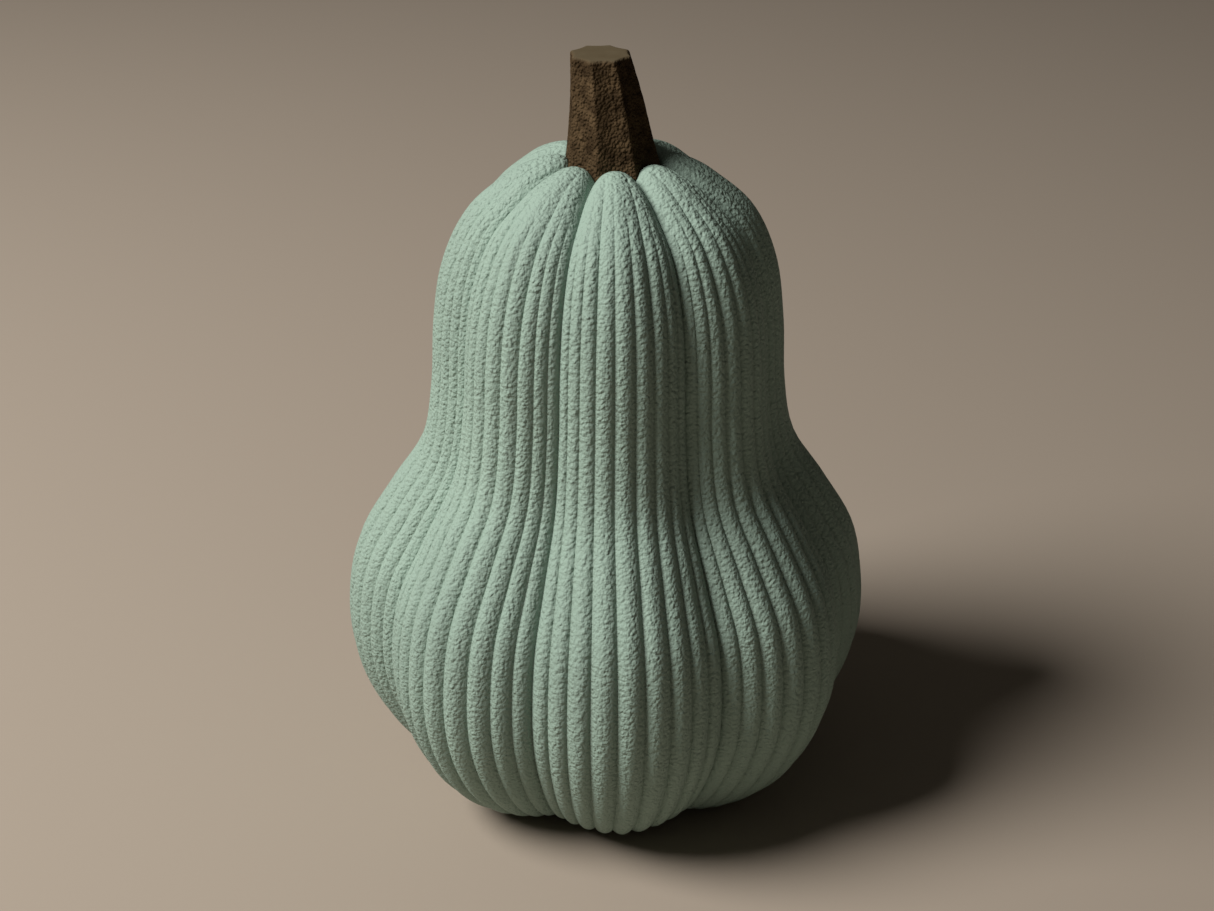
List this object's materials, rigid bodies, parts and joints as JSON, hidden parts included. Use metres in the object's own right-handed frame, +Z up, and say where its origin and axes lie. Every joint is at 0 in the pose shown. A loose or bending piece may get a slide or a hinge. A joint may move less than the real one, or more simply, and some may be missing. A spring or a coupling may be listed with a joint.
{
  "type": "ceramic pumpkin figure",
  "caption": "Hollow slip-cast ceramic gourd pumpkin with ribbed lobes, a narrow upper bulb, a fluted stem set in its crown and felt pads under its lobes.",
  "frame": {"origin": "centre of the body on the surface that it stands on", "axes": "+Z up through the body to the stem, the middle of one lobe faces -Y, the stem leans slightly towards -X"},
  "size_m": [0.16, 0.16, 0.228],
  "materials": {
    "glazed_body": "matt sage green glaze with a fine leathery relief",
    "stem_bark": "dark brown stained cast resin, rough fluted sides, smooth cut top",
    "dowel_wood": "plain birch, unfinished",
    "adhesive": "cured amber epoxy",
    "plug_rubber": "soft translucent grey rubber, matt",
    "pad_felt": "brown wool felt"
  },
  "bodies": {
    "root": {"body_shell": "glazed_body", "stem": "stem_bark", "stem_dowel": "dowel_wood", "stem_adhesive": "adhesive", "base_plug": "plug_rubber", "foot_pad_1": "pad_felt", "foot_pad_2": "pad_felt", "foot_pad_3": "pad_felt", "foot_pad_4": "pad_felt"}
  },
  "joints": []
}
